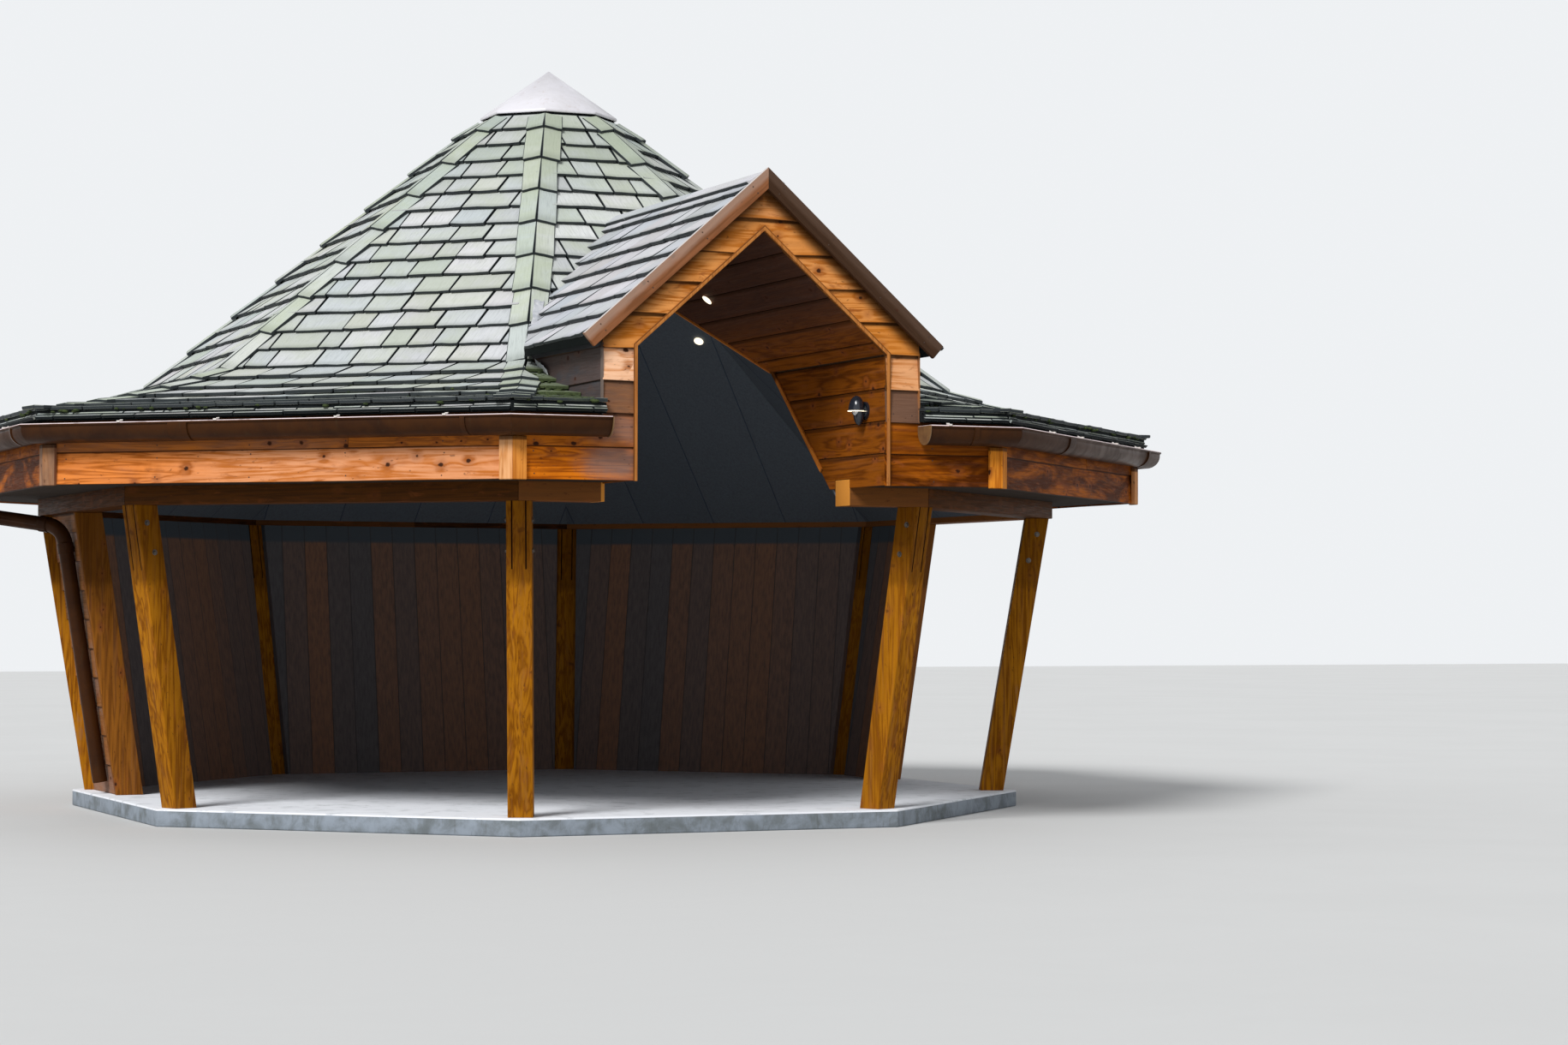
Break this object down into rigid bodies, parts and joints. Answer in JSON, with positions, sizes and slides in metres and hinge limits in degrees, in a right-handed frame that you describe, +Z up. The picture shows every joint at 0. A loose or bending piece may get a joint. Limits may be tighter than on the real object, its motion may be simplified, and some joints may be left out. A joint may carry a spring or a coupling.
{
  "type": "octagonal garden pavilion",
  "caption": "Eight-sided, partly open timber garden pavilion with a swept shingled roof, a pointed metal cap, gutters and a gabled entrance dormer.",
  "frame": {"origin": "on the ground, under the point of the roof", "axes": "+Z up, the entrance faces -Y, +X to the right of someone who looks at the entrance"},
  "size_m": [6.0788, 6.0788, 3.9246],
  "materials": {
    "stained_timber": "orange-brown stain, weathered",
    "pale_timber": "light stained strip",
    "dark_timber": "dark brown, matt",
    "shingles": "split cedar, weathered grey with green algae",
    "charcoal_lining": "near-black boards, matt",
    "zinc": "dull folded sheet, slightly rusted",
    "brown_plastic": "brown, slightly glossy",
    "coated_masonry": "coated masonry step, mottled grey-blue",
    "lamp_metal": "small downlights and a spot lamp"
  },
  "bodies": {
    "root": {"plinth": "coated_masonry", "post_front_left": "stained_timber", "post_front_right": "stained_timber", "post_right_front": "stained_timber", "post_right_back": "stained_timber", "post_back_right": "stained_timber", "post_back_left": "stained_timber", "post_left_back": "stained_timber", "post_left_front": "stained_timber", "ring_beams": "stained_timber", "eaves_soffit": "dark_timber", "fascia_lower_boards": "stained_timber", "fascia_upper_boards": "stained_timber", "corner_boards": "stained_timber", "roof_front": "shingles", "roof_front_right": "shingles", "roof_right": "shingles", "roof_back_right": "shingles", "roof_back": "shingles", "roof_back_left": "shingles", "roof_left": "shingles", "roof_front_left": "shingles", "hip_rafters": "dark_timber", "king_block": "dark_timber", "hip_caps": "shingles", "metal_cap": "zinc", "ceiling_lining": "charcoal_lining", "dormer_wall_left": "stained_timber", "dormer_wall_right": "stained_timber", "gable_boards": "stained_timber", "entrance_trim": "pale_timber", "dormer_roof_left": "shingles", "dormer_roof_right": "shingles", "dormer_ridge_cap": "shingles", "bargeboards": "dark_timber", "dormer_lining": "stained_timber", "gutters": "brown_plastic", "downpipe": "brown_plastic", "side_wall_left": "stained_timber", "side_wall_right": "stained_timber", "wall_jambs": "stained_timber", "back_wall_left": "stained_timber", "back_wall": "stained_timber", "back_wall_right": "stained_timber", "entrance_lights": "lamp_metal"}
  },
  "joints": []
}
